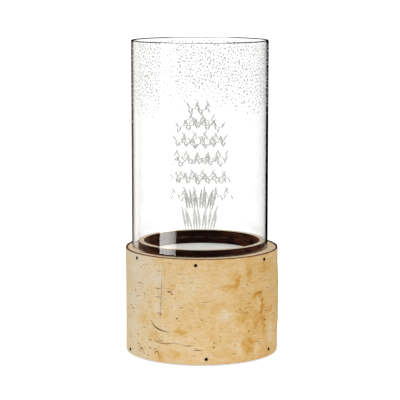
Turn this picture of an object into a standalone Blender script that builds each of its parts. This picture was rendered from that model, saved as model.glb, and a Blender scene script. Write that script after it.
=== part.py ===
"""Hurricane candle holder: an open glass cylinder standing on a drum wrapped in birch bark.

Units are metres, +Z is up and -Y is the front. The origin is on the drum's axis, at the level
of the surface that the felt pads stand on. Azimuths are in degrees from the front, growing
towards +X. Heights are worked out from the surface upwards.
"""
import math

import bmesh
import bpy
from mathutils import Matrix, Vector

GAP = 0.0003                      # clearance kept between pieces that touch
SEGMENTS = 96                     # facets round every large turned piece
SMALL_SEGMENTS = 14               # facets round nails, screws and their holes
SHARP_ANGLE = math.radians(35)

PAD_RADIUS = 0.010
PAD_THICKNESS = 0.0020
PAD_CIRCLE = 0.052
PAD_AZIMUTHS = (0, 90, 180, 270)

BARK_BOTTOM = 0.0015
BARK_HEIGHT = 0.0961
BARK_RADIUS = 0.0705              # outside of the wrap, away from its seam
BARK_THICKNESS = 0.0015
BARK_STEP_DEG = 3.75
SEAM_AZIMUTH = 178
SEAM_HALF_DEG = 7                 # half of the overlap where the two ends of the sheet meet
SEAM_RAMP_START_DEG = 330         # where the outer end begins to lift over the inner end
SEAM_RAMP_END_DEG = 350

DISC_RADIUS = BARK_RADIUS - BARK_THICKNESS - GAP
BASE_THICKNESS = 0.012
LAYER_THICKNESS = 0.00635         # deck disc, well floor and locating ring are all cut from this
DECK_BELOW_BARK = 0.0007
WELL_RADIUS = 0.0535
RING_RADIUS = 0.0585

GLASS_RADIUS = 0.0628
GLASS_WALL = 0.0020
GLASS_HEIGHT = 0.1908
GLASS_CHAMFER = 0.0005
GLASS_OFFSET = Vector((-0.0017, 0.0, 0.0))    # the loose glass stands to the left in its play

PLATE_RADIUS = 0.0527
PLATE_THICKNESS = 0.0006
PLATE_CHAMFER = 0.00015

POST_SIDE = 0.016
POST_CHAMFER = 0.0012
POST_CIRCLE = 0.058
POST_AZIMUTHS = (45, 135, 225, 315)

SCREW_LENGTH = 0.025
SCREW_HEAD_RADIUS = 0.0034
SCREW_HEAD_RIM = 0.0004
SCREW_SHANK_RADIUS = 0.0015
SCREW_POINT = 0.003
RECESS_DEPTH = 0.0014
RECESS_ARM = 0.0044
RECESS_WIDTH = 0.0009
CUTTER_OVERSHOOT = 0.001

NAIL_LENGTH = 0.012
NAIL_HEAD_RADIUS = 0.00125
NAIL_HEAD_HEIGHT = 0.0006
NAIL_SHANK_RADIUS = 0.0005
NAIL_POINT = 0.0015
# Azimuth of each hand-driven nail, and its distance from the nearer edge of the bark.
TOP_NAILS = ((-56, 0.0045), (-4, 0.0057), (53, 0.0051),
             (117, 0.0048), (178, 0.0044), (238, 0.0050))
BOTTOM_NAILS = ((-68, 0.0042), (3, 0.0053), (60, 0.0064),
                (122, 0.0054), (182, 0.0048), (238, 0.0058))

BASE_BOTTOM = PAD_THICKNESS + GAP
BASE_TOP = BASE_BOTTOM + BASE_THICKNESS
BARK_TOP = BARK_BOTTOM + BARK_HEIGHT
DECK_TOP = BARK_TOP - DECK_BELOW_BARK
DECK_BOTTOM = DECK_TOP - LAYER_THICKNESS
FLOOR_TOP = DECK_BOTTOM - GAP
FLOOR_BOTTOM = FLOOR_TOP - LAYER_THICKNESS
POST_BOTTOM = BASE_TOP + GAP
POST_TOP = FLOOR_BOTTOM - GAP


def clear_scene():
    for obj in list(bpy.data.objects):
        bpy.data.objects.remove(obj, do_unlink=True)


def make_material(name, colour, roughness, metallic=0.0, transmission=0.0):
    material = bpy.data.materials.new(name)
    material.use_nodes = True
    shader = material.node_tree.nodes["Principled BSDF"]
    shader.inputs["Base Color"].default_value = (*colour, 1.0)
    shader.inputs["Roughness"].default_value = roughness
    shader.inputs["Metallic"].default_value = metallic
    shader.inputs["Transmission Weight"].default_value = transmission
    material.diffuse_color = (*colour, 1.0)
    return material


def mesh_from(bm, name):
    """Turn a bmesh into a mesh with outward normals and crisp edges only where it is angular."""
    bmesh.ops.recalc_face_normals(bm, faces=bm.faces)
    mesh = bpy.data.meshes.new(name)
    bm.to_mesh(mesh)
    bm.free()
    mesh.shade_smooth()
    mesh.set_sharp_from_angle(angle=SHARP_ANGLE)
    return mesh


def add_object(name, mesh, material=None, matrix=None):
    obj = bpy.data.objects.new(name, mesh)
    bpy.context.scene.collection.objects.link(obj)
    if material:
        mesh.materials.clear()
        mesh.materials.append(material)
    if matrix:
        obj.matrix_world = matrix
    return obj


def outward(azimuth):
    """Unit vector that points away from the axis at an azimuth in degrees."""
    angle = math.radians(azimuth)
    return Vector((math.sin(angle), -math.cos(angle), 0.0))


def at_height(z):
    return Matrix.Translation((0.0, 0.0, z))


def on_circle(radius, azimuth, z):
    return Matrix.Translation(outward(azimuth) * radius + Vector((0.0, 0.0, z)))


def turned(profile, segments, tube=False):
    """Spin (radius, height) points about Z. A tube's outline closes on itself; a solid's
    outline starts and ends on the axis."""
    bm = bmesh.new()
    verts = [bm.verts.new((radius, 0.0, height)) for radius, height in profile]
    pairs = list(zip(verts, verts[1:]))
    if tube:
        pairs.append((verts[-1], verts[0]))
    edges = [bm.edges.new(pair) for pair in pairs]
    bmesh.ops.spin(bm, geom=verts + edges, axis=(0, 0, 1), cent=(0, 0, 0),
                   angle=math.tau, steps=segments)
    bmesh.ops.remove_doubles(bm, verts=bm.verts, dist=1e-6)
    return bm


def disc_profile(radius, thickness, chamfer=0.0):
    if not chamfer:
        return [(0, 0), (radius, 0), (radius, thickness), (0, thickness)]
    return [(0, 0), (radius - chamfer, 0), (radius, chamfer), (radius, thickness - chamfer),
            (radius - chamfer, thickness), (0, thickness)]


def ring_profile(inner, outer, height, chamfer=0.0):
    if not chamfer:
        return [(inner, 0), (outer, 0), (outer, height), (inner, height)]
    return [(inner + chamfer, 0), (outer - chamfer, 0), (outer, chamfer),
            (outer, height - chamfer), (outer - chamfer, height), (inner + chamfer, height),
            (inner, height - chamfer), (inner, chamfer)]


def make_cutter(name, bm):
    cutter = add_object(name, mesh_from(bm, name))
    cutter.hide_render = True
    cutter.display_type = 'WIRE'
    return cutter


def cut(obj, cutter):
    boolean = obj.modifiers.new(cutter.name, 'BOOLEAN')
    boolean.operation = 'DIFFERENCE'
    boolean.solver = 'EXACT'
    boolean.object = cutter


def bark_inner_radius(turn):
    """Inside radius of the bark sheet after a turn in degrees from the middle of its seam."""
    ramp = (turn - SEAM_RAMP_START_DEG) / (SEAM_RAMP_END_DEG - SEAM_RAMP_START_DEG)
    ramp = min(max(ramp, 0.0), 1.0)
    lift = ramp * ramp * (3 - 2 * ramp) * (BARK_THICKNESS + GAP)
    return BARK_RADIUS - BARK_THICKNESS + lift


def bark_surface_radius(azimuth):
    """Outside radius of the wrap at an azimuth, on top of the seam where the ends overlap."""
    turn = (azimuth - SEAM_AZIMUTH) % 360
    if turn <= SEAM_HALF_DEG:
        turn += 360
    return bark_inner_radius(turn) + BARK_THICKNESS


def nail_profile(grow=0.0):
    """Domed head above the origin and a pointed shank below it. A grown one is the hole."""
    shank = NAIL_SHANK_RADIUS + grow
    tip = -NAIL_LENGTH - grow
    point = [(shank, tip + NAIL_POINT), (0, tip)]
    if grow:
        return [(0, CUTTER_OVERSHOOT), (shank, CUTTER_OVERSHOOT)] + point
    dome = [(NAIL_HEAD_RADIUS * math.sin(angle), NAIL_HEAD_HEIGHT * math.cos(angle))
            for angle in (0.0, math.radians(40), math.radians(75))]
    return dome + [(NAIL_HEAD_RADIUS, 0), (shank, 0)] + point


def screw_profile(grow=0.0):
    """Countersunk head with its face at the origin and a pointed shank below. A grown one is
    the hole."""
    head = SCREW_HEAD_RADIUS + grow
    shank = SCREW_SHANK_RADIUS + grow
    cone_end = -SCREW_HEAD_RIM - (SCREW_HEAD_RADIUS - SCREW_SHANK_RADIUS)
    tip = -SCREW_LENGTH - grow
    top = CUTTER_OVERSHOOT if grow else 0.0
    return [(0, top), (head, top), (head, -SCREW_HEAD_RIM), (shank, cone_end),
            (shank, tip + SCREW_POINT), (0, tip)]


def nail_places():
    """Name and world matrix of each nail, its local Z along the outward radius."""
    rows = (("top_nail", BARK_TOP, -1, TOP_NAILS), ("bottom_nail", BARK_BOTTOM, 1, BOTTOM_NAILS))
    for row, edge, inwards, nails in rows:
        for number, (azimuth, depth) in enumerate(nails, 1):
            radius = bark_surface_radius(azimuth) + GAP
            turn = outward(azimuth).to_track_quat('Z', 'Y').to_matrix().to_4x4()
            yield f"{row}_{number}", on_circle(radius, azimuth, edge + inwards * depth) @ turn


def screw_places():
    """Name and world matrix of each post screw. The lower ones point upwards."""
    upside_down = Matrix.Rotation(math.pi, 4, 'X')
    for number, azimuth in enumerate(POST_AZIMUTHS, 1):
        upper = on_circle(POST_CIRCLE, azimuth, FLOOR_TOP - GAP)
        yield f"upper_post_screw_{number}", upper
        lower = on_circle(POST_CIRCLE, azimuth, BASE_BOTTOM + GAP)
        yield f"lower_post_screw_{number}", lower @ upside_down


def clearance(name, profile, places):
    """One cutter that holds a copy of a turned shape at every place."""
    bm = bmesh.new()
    for _, matrix in places:
        copy = turned(profile, SMALL_SEGMENTS)
        copy.transform(matrix)
        mesh = bpy.data.meshes.new(name)
        copy.to_mesh(mesh)
        copy.free()
        bm.from_mesh(mesh)
        bpy.data.meshes.remove(mesh)
    return make_cutter(name, bm)


def box(size, centre=(0, 0, 0)):
    bm = bmesh.new()
    bmesh.ops.create_cube(bm, size=1.0)
    bmesh.ops.scale(bm, vec=size, verts=bm.verts)
    bmesh.ops.translate(bm, vec=centre, verts=bm.verts)
    return bm


def evaluated_copy(obj, name):
    """Mesh of an object as its modifiers leave it. The object itself is removed."""
    depsgraph = bpy.context.evaluated_depsgraph_get()
    mesh = bpy.data.meshes.new_from_object(obj.evaluated_get(depsgraph))
    mesh.name = name
    bpy.data.objects.remove(obj, do_unlink=True)
    return mesh


def screw_mesh():
    """One countersunk screw with a cross recess, shared by all eight."""
    screw = add_object("screw_blank", mesh_from(turned(screw_profile(), SMALL_SEGMENTS), "blank"))
    height = RECESS_DEPTH + CUTTER_OVERSHOOT
    middle = (0, 0, (CUTTER_OVERSHOOT - RECESS_DEPTH) / 2)
    arms = (("recess_across", (RECESS_ARM, RECESS_WIDTH, height)),
            ("recess_along", (RECESS_WIDTH, RECESS_ARM, height)))
    cutters = [make_cutter(name, box(size, middle)) for name, size in arms]
    for cutter in cutters:
        cut(screw, cutter)
    mesh = evaluated_copy(screw, "post_screw")
    for cutter in cutters:
        bpy.data.objects.remove(cutter, do_unlink=True)
    return mesh


def post_mesh():
    """Square batten with chamfered long edges, its foot at the origin."""
    height = POST_TOP - POST_BOTTOM
    bm = box((POST_SIDE, POST_SIDE, height), (0, 0, height / 2))
    upright = [edge for edge in bm.edges
               if abs(edge.verts[0].co.z - edge.verts[1].co.z) > height / 2]
    bmesh.ops.bevel(bm, geom=upright, offset=POST_CHAMFER, segments=1, affect='EDGES')
    return mesh_from(bm, "post")


def bark_mesh():
    """One sheet bent round the discs until its ends overlap: a strip with four corners in
    section, walked round from the inner end to the outer end."""
    bm = bmesh.new()
    sweep = 360 + 2 * SEAM_HALF_DEG
    steps = round(sweep / BARK_STEP_DEG)
    sections = []
    for step in range(steps + 1):
        turn = -SEAM_HALF_DEG + sweep * step / steps
        inner = bark_inner_radius(turn)
        outer = inner + BARK_THICKNESS
        direction = outward(SEAM_AZIMUTH + turn)
        corners = ((inner, 0.0), (outer, 0.0), (outer, BARK_HEIGHT), (inner, BARK_HEIGHT))
        sections.append([bm.verts.new(direction * radius + Vector((0, 0, z)))
                         for radius, z in corners])
    for here, there in zip(sections, sections[1:]):
        for corner in range(4):
            after = (corner + 1) % 4
            bm.faces.new((here[corner], here[after], there[after], there[corner]))
    bm.faces.new(sections[0])
    bm.faces.new(sections[-1])
    return mesh_from(bm, "bark")


def build_glass():
    profile = ring_profile(GLASS_RADIUS - GLASS_WALL, GLASS_RADIUS, GLASS_HEIGHT, GLASS_CHAMFER)
    material = make_material("clear_glass", (0.95, 0.97, 0.96), 0.02, transmission=1.0)
    mesh = mesh_from(turned(profile, SEGMENTS, tube=True), "glass")
    place = at_height(DECK_TOP + GAP) @ Matrix.Translation(GLASS_OFFSET)
    add_object("glass_cylinder", mesh, material, place)


def build_candle_plate():
    material = make_material("satin_metal", (0.74, 0.74, 0.71), 0.35, metallic=1.0)
    profile = disc_profile(PLATE_RADIUS, PLATE_THICKNESS, PLATE_CHAMFER)
    mesh = mesh_from(turned(profile, SEGMENTS), "plate")
    add_object("candle_plate", mesh, material, at_height(FLOOR_TOP + GAP))


def build_discs(nail_holes, screw_holes):
    """Everything laser-cut from fibreboard: the ring, the deck, the well floor and the base."""
    board = make_material("fibreboard", (0.60, 0.45, 0.28), 0.75)
    ring = mesh_from(turned(ring_profile(WELL_RADIUS, RING_RADIUS, LAYER_THICKNESS),
                            SEGMENTS, tube=True), "ring")
    add_object("locating_ring", ring, board, at_height(DECK_TOP + GAP))
    deck = mesh_from(turned(ring_profile(WELL_RADIUS, DISC_RADIUS, LAYER_THICKNESS),
                            SEGMENTS, tube=True), "deck")
    cut(add_object("deck_disc", deck, board, at_height(DECK_BOTTOM)), nail_holes)
    floor = mesh_from(turned(disc_profile(DISC_RADIUS, LAYER_THICKNESS), SEGMENTS), "floor")
    cut(add_object("well_floor_disc", floor, board, at_height(FLOOR_BOTTOM)), screw_holes)
    base = mesh_from(turned(disc_profile(DISC_RADIUS, BASE_THICKNESS), SEGMENTS), "base")
    base_disc = add_object("base_disc", base, board, at_height(BASE_BOTTOM))
    cut(base_disc, nail_holes)
    cut(base_disc, screw_holes)


def build_posts(screw_holes):
    pine = make_material("pine", (0.72, 0.55, 0.34), 0.65)
    mesh = post_mesh()
    for number, azimuth in enumerate(POST_AZIMUTHS, 1):
        turn = Matrix.Rotation(math.radians(azimuth), 4, 'Z')
        matrix = on_circle(POST_CIRCLE, azimuth, POST_BOTTOM) @ turn
        cut(add_object(f"support_post_{number}", mesh, pine, matrix), screw_holes)


def build_screws():
    steel = make_material("zinc_screw", (0.66, 0.65, 0.60), 0.35, metallic=1.0)
    mesh = screw_mesh()
    for name, matrix in screw_places():
        add_object(name, mesh, steel, matrix)


def build_nails():
    black = make_material("black_nail", (0.02, 0.018, 0.016), 0.45, metallic=0.6)
    mesh = mesh_from(turned(nail_profile(), SMALL_SEGMENTS), "nail")
    for name, matrix in nail_places():
        add_object(name, mesh, black, matrix)


def build_bark(nail_holes):
    bark = make_material("birch_bark", (0.80, 0.66, 0.44), 0.70)
    cut(add_object("bark_wrap", bark_mesh(), bark, at_height(BARK_BOTTOM)), nail_holes)


def build_pads():
    felt = make_material("felt", (0.16, 0.12, 0.09), 0.95)
    profile = disc_profile(PAD_RADIUS, PAD_THICKNESS)
    mesh = mesh_from(turned(profile, SEGMENTS // 3), "pad")
    for number, azimuth in enumerate(PAD_AZIMUTHS, 1):
        add_object(f"felt_pad_{number}", mesh, felt, on_circle(PAD_CIRCLE, azimuth, 0.0))


def main():
    clear_scene()
    nail_holes = clearance("nail_holes", nail_profile(GAP), nail_places())
    screw_holes = clearance("screw_holes", screw_profile(GAP), screw_places())
    build_glass()
    build_candle_plate()
    build_discs(nail_holes, screw_holes)
    build_posts(screw_holes)
    build_screws()
    build_bark(nail_holes)
    build_nails()
    build_pads()


main()
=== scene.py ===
"""Looks of the hurricane candle holder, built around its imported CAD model.

Metres, +Z up, -Y is the front. Azimuths are in degrees from the front, growing towards +X.
Each surface function takes an azimuth and a height, so that marks lie on the real surface.
"""
import math

import bpy
import numpy as np
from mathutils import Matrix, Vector


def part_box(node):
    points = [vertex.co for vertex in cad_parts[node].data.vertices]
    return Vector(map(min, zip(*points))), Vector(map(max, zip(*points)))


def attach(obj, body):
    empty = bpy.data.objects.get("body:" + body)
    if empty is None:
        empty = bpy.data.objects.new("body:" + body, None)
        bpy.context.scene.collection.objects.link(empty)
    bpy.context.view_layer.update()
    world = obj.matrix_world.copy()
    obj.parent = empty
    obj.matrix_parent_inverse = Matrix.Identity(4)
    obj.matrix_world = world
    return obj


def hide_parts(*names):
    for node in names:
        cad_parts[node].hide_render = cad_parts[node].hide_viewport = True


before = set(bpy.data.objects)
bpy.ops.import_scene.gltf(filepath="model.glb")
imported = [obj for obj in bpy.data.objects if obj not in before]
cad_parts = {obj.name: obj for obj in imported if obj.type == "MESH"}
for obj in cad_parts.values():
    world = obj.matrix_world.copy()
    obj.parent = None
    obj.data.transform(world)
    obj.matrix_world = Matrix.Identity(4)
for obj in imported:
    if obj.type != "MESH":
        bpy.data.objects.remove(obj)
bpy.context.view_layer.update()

# Sizes read from the frame.
GLASS_LOW, GLASS_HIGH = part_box("glass_cylinder")
GLASS_CENTRE_X = (GLASS_LOW.x + GLASS_HIGH.x) / 2
GLASS_RADIUS = (GLASS_HIGH.x - GLASS_LOW.x) / 2
RING_LOW, RING_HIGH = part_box("locating_ring")
DECK_LOW, DECK_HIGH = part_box("deck_disc")
PLATE_LOW, PLATE_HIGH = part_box("candle_plate")
BARK_LOW, BARK_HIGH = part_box("bark_wrap")
BARK_RADIUS = (BARK_HIGH.x - BARK_LOW.x) / 2
BASE_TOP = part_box("base_disc")[1].z
FLOOR_DISC_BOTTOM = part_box("well_floor_disc")[0].z

# Sizes that a box doesn't show, as the parts have them.
GLASS_WALL = 0.0020
WELL_RADIUS = 0.0535
BARK_THICKNESS = 0.0015
SEAM_AZIMUTH = 178.0
SEAM_HALF = 7.0
SEAM_RAMP = (330.0, 350.0)
SEAM_LIFT = 0.0018
MM = 0.001


# ---- small tools

def smooth(low, high, value):
    """0 below low, 1 above high and an S-curve between, for numbers or arrays."""
    share = np.clip((value - low) / (high - low), 0.0, 1.0)
    return share * share * (3 - 2 * share)


def apart(azimuth, other):
    """Difference of two azimuths in degrees, from -180 to 180."""
    return (azimuth - other + 180) % 360 - 180


def value_noise(x, y, seed):
    """Smooth noise from -1 to 1 with one feature per unit of x and of y."""
    table = np.random.default_rng(seed).uniform(-1.0, 1.0, (128, 128))
    x, y = np.broadcast_arrays(np.asarray(x, float), np.asarray(y, float))
    column = np.floor(x).astype(int)
    row = np.floor(y).astype(int)
    across = smooth(0.0, 1.0, x - column)
    up = smooth(0.0, 1.0, y - row)
    size = table.shape[0]

    def corner(i, j):
        return table[(column + i) % size, (row + j) % size]

    low = corner(0, 0) * (1 - across) + corner(1, 0) * across
    high = corner(0, 1) * (1 - across) + corner(1, 1) * across
    return low * (1 - up) + high * up


def cylinder_points(azimuth, radius, height, centre_x=0.0):
    """World points at azimuths in degrees, as rows of an array."""
    angle = np.radians(azimuth)
    azimuth, radius, height = np.broadcast_arrays(angle, radius, height)
    return np.stack([centre_x + radius * np.sin(azimuth), -radius * np.cos(azimuth), height], -1)


def strip(first, second, count):
    """Quads between two runs of count points, given where each run starts."""
    return [(first + i, first + i + 1, second + i + 1, second + i) for i in range(count - 1)]


def make_piece(name, points, faces, materials, body, shade=40.0):
    """A mesh piece that rides on a CAD body and takes its finish from a slot."""
    mesh = bpy.data.meshes.new(name)
    mesh.from_pydata([tuple(p) for p in points], [], faces)
    mesh.validate()
    piece = bpy.data.objects.new(name, mesh)
    bpy.context.scene.collection.objects.link(piece)
    for material in materials:
        mesh.materials.append(material)
    mesh.shade_smooth()
    mesh.set_sharp_from_angle(angle=math.radians(shade))
    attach(piece, body)
    return piece


def add_uv(piece, u, v):
    """One UV map in metres, from a value of u and v at each vertex."""
    layer = piece.data.uv_layers.new(name="metres")
    corners = np.zeros(len(piece.data.loops), int)
    piece.data.loops.foreach_get("vertex_index", corners)
    layer.data.foreach_set("uv", np.stack([u[corners], v[corners]], -1).ravel())


def add_value(piece, name, values):
    layer = piece.data.attributes.new(name, 'FLOAT', 'POINT')
    layer.data.foreach_set("value", np.asarray(values, np.float32))


def turned_piece(name, profile, segments, materials, body, centre_x=0.0, wobble=None):
    """Turn a closed outline of (radius, height, material) about the axis. The material is the
    face's that leaves the point. wobble adds to the radius, given azimuth and height."""
    count = len(profile)
    azimuth = np.repeat(np.arange(segments) * 360.0 / segments, count)
    radius = np.tile([p[0] for p in profile], segments)
    height = np.tile([p[1] for p in profile], segments)
    if wobble:
        radius = radius + wobble(azimuth, height)
    points = cylinder_points(azimuth, radius, height, centre_x)
    faces, slots = [], []
    for i in range(segments):
        here, there = i * count, (i + 1) % segments * count
        for j in range(count):
            k = (j + 1) % count
            faces.append((here + j, there + j, there + k, here + k))
            slots.append(profile[j][2])
    piece = make_piece(name, points, faces, materials, body)
    piece.data.polygons.foreach_set("material_index", slots)
    add_uv(piece, np.radians(azimuth) * radius, height)
    return piece


def arc(centre, radius, start, end, steps, material):
    """Points of a round corner in an outline, at angles in degrees."""
    angles = [math.radians(start + (end - start) * i / steps) for i in range(steps + 1)]
    return [(centre[0] + radius * math.cos(a), centre[1] + radius * math.sin(a), material)
            for a in angles]


def board_ring(inner, outer, low, high, margins):
    """Outline of a flat ring of board, anticlockwise from the lower outside: material 0 on its
    top face and 1, the burnt one, on its walls, its bottom and the margins of its top."""
    corner = 0.12 * MM
    points = arc((outer - corner, low + corner), corner, -90, 0, 2, 1)
    points += arc((outer - corner, high - corner), corner, 0, 90, 2, 1)
    points.append((outer - corner - margins[1], high, 0))
    points.append((inner + corner + margins[0], high, 1))
    points += arc((inner + corner, high - corner), corner, 90, 180, 2, 1)
    points += arc((inner + corner, low + corner), corner, 180, 270, 2, 1)
    return points


# ---- materials

class Look:
    """A node tree written one call per node."""

    def __init__(self, name, owner=None):
        self.owner = owner or bpy.data.materials.new(name)
        self.owner.use_nodes = True
        self.tree = self.owner.node_tree
        self.shader = self.tree.nodes.get("Principled BSDF")

    def node(self, kind, inputs=None, **settings):
        made = self.tree.nodes.new("ShaderNode" + kind)
        for key, value in settings.items():
            setattr(made, key, value)
        for key, value in (inputs or {}).items():
            self.feed(made.inputs[key], value)
        return made

    def feed(self, socket, value):
        if isinstance(value, bpy.types.NodeSocket):
            self.tree.links.new(value, socket)
        else:
            socket.default_value = value

    def set(self, **values):
        """Feed the shader's own sockets: base_color is Base Color, and so on."""
        for key, value in values.items():
            words = key.replace("_", " ").title().replace("Ior", "IOR")
            self.feed(self.shader.inputs[words], value)

    def place(self, kind="Object", scale=(1, 1, 1)):
        coordinates = self.node("TexCoord").outputs[kind]
        return self.node("Mapping", {"Vector": coordinates, "Scale": scale}).outputs[0]

    def noise(self, vector, scale, detail=3.0, roughness=0.5, distortion=0.0):
        values = {"Vector": vector, "Scale": scale, "Detail": detail,
                  "Roughness": roughness, "Distortion": distortion}
        return self.node("TexNoise", values).outputs[0]

    def cells(self, vector, scale):
        return self.node("TexVoronoi", {"Vector": vector, "Scale": scale}).outputs["Distance"]

    def attribute(self, name):
        return self.node("Attribute", attribute_name=name).outputs["Fac"]

    def ramp(self, value, stops):
        """stops are (position, colour), a colour being a number or (r, g, b)."""
        made = self.node("ValToRGB", {"Fac": value})
        elements = made.color_ramp.elements
        while len(elements) < len(stops):
            elements.new(1.0)
        for element, (position, colour) in zip(elements, stops):
            element.position = position
            grey = isinstance(colour, (int, float))
            element.color = (colour, colour, colour, 1) if grey else (*colour, 1)
        return made.outputs["Color"]

    def mix(self, factor, first, second, blend='MIX'):
        made = self.node("Mix", data_type='RGBA', blend_type=blend)
        self.feed(made.inputs[0], factor)
        for index, value in ((6, first), (7, second)):
            self.feed(made.inputs[index], (*value, 1) if isinstance(value, tuple) else value)
        return made.outputs[2]

    def maths(self, operation, first, second=0.0):
        made = self.node("Math", operation=operation)
        self.feed(made.inputs[0], first)
        self.feed(made.inputs[1], second)
        return made.outputs[0]

    def spread(self, value, low, high, to_low=0.0, to_high=1.0):
        values = {"Value": value, "From Min": low, "From Max": high,
                  "To Min": to_low, "To Max": to_high}
        return self.node("MapRange", values).outputs[0]

    def bump(self, height, distance, normal=None):
        values = {"Height": height, "Distance": distance, "Strength": 1.0}
        if normal:
            values["Normal"] = normal
        return self.node("Bump", values).outputs[0]


def glass_look(name="clear_glass", tint=1.0):
    """Clear soda glass. Everything is on the shader's own sockets. A tint below 1 greys it, which
    paints shade on the top rim.
    """
    look = Look(name)
    look.set(base_color=(tint, tint, tint, 1), roughness=0.0, ior=1.5, transmission_weight=1.0)
    absorb = look.node("VolumeAbsorption", {"Color": (0.90, 0.91, 0.90, 1), "Density": 60.0})
    look.feed(look.tree.nodes["Material Output"].inputs["Volume"], absorb.outputs[0])
    return look.owner


def frost_look():
    """Etched, light-scattering glass: pale grey with a fine tooth."""
    look = Look("etched_frost")
    where = look.place()
    tooth = look.noise(where, 1600.0, 2.0)
    cloud = look.noise(where, 260.0, 3.0)
    shade = look.ramp(cloud, [(0.35, (0.56, 0.56, 0.54)), (0.65, (0.70, 0.70, 0.68))])
    look.set(base_color=shade, roughness=look.spread(tooth, 0.3, 0.7, 0.55, 0.8),
             normal=look.bump(tooth, 0.00003))
    return look.owner


def board_face_look(name="board_face", pale=(0.80, 0.64, 0.44)):
    """Raw face of fibreboard: tan, with short pressed fibres and darker specks."""
    look = Look(name)
    fibres = look.noise(look.place(scale=(1, 0.35, 1)), 900.0, 4.0, 0.65, 0.8)
    cloud = look.noise(look.place(), 45.0, 3.0)
    specks = look.cells(look.place(), 620.0)
    deep = [0.72 * value for value in pale]
    base = look.ramp(fibres, [(0.3, deep), (0.7, pale)])
    base = look.mix(look.spread(cloud, 0.35, 0.7, 0.0, 0.30), base, (0.82, 0.68, 0.48))
    base = look.mix(look.spread(specks, 0.05, 0.16, 0.45, 0.0), base, (0.20, 0.12, 0.06))
    look.set(base_color=base, roughness=look.spread(fibres, 0.3, 0.7, 0.62, 0.85),
             normal=look.bump(fibres, 0.00005))
    return look.owner


def burnt_edge_look():
    """Laser-cut edge: charred dark brown, streaked across the board, with painted light: a
    lighter, redder brown in patches towards the left and right in x.
    """
    look = Look("burnt_edge")
    streaks = look.noise(look.place("UV", (900, 60, 1)), 1.0, 4.0, 0.6)
    patches = look.noise(look.place("UV", (60, 180, 1)), 1.0, 3.0)
    char = look.ramp(streaks, [(0.25, (0.0006, 0.0002, 0.0001)), (0.60, (0.004, 0.0010, 0.0004)),
                               (0.85, (0.045, 0.014, 0.007))])
    # painted light: the char is drawn lighter and redder towards the left and right in x
    across = look.node("SeparateXYZ", {"Vector": look.place()}).outputs["X"]
    side = look.spread(look.maths("ABSOLUTE", across), 0.012, 0.050, 0.12, 1.0)
    painted_side_light = look.maths("MULTIPLY", look.spread(patches, 0.36, 0.58, 0.0, 1.0), side)
    char = look.mix(painted_side_light, char, (0.078, 0.020, 0.0080))
    ash = look.cells(look.place("UV", (520, 700, 1)), 1.0)
    char = look.mix(look.spread(ash, 0.04, 0.10, 0.35, 0.0), char, (0.30, 0.22, 0.16))
    look.set(base_color=char, specular_ior_level=0.05,
             roughness=look.spread(streaks, 0.3, 0.8, 0.35, 0.65),
             normal=look.bump(streaks, 0.00006))
    return look.owner


def glue_look():
    look = Look("dried_glue")
    cloud = look.noise(look.place(), 900.0, 2.0)
    base = look.ramp(cloud, [(0.3, (0.16, 0.11, 0.075)), (0.7, (0.45, 0.37, 0.28))])
    look.set(base_color=base, roughness=look.spread(cloud, 0.3, 0.7, 0.25, 0.45))
    return look.owner


def plate_look():
    """Pale grey satin enamel with a faint pebble and a few wiped smudges."""
    look = Look("pale_enamel")
    pebble = look.noise(look.place(), 1100.0, 2.0)
    smudge = look.noise(look.place(scale=(1, 0.3, 1)), 60.0, 4.0, 0.6, 0.6)
    base = look.ramp(smudge, [(0.3, (0.76, 0.76, 0.715)), (0.7, (0.86, 0.86, 0.82))])
    look.set(base_color=base, roughness=look.spread(smudge, 0.3, 0.7, 0.42, 0.6),
             normal=look.bump(pebble, 0.00002))
    return look.owner


# Skin of the bark from its palest tint to its deepest orange.
BARK_SHADES = ((0.0, (0.79, 0.71, 0.58)), (0.30, (0.79, 0.645, 0.42)), (0.52, (0.78, 0.56, 0.285)),
               (0.76, (0.72, 0.45, 0.155)), (1.0, (0.64, 0.31, 0.055)))


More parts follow.
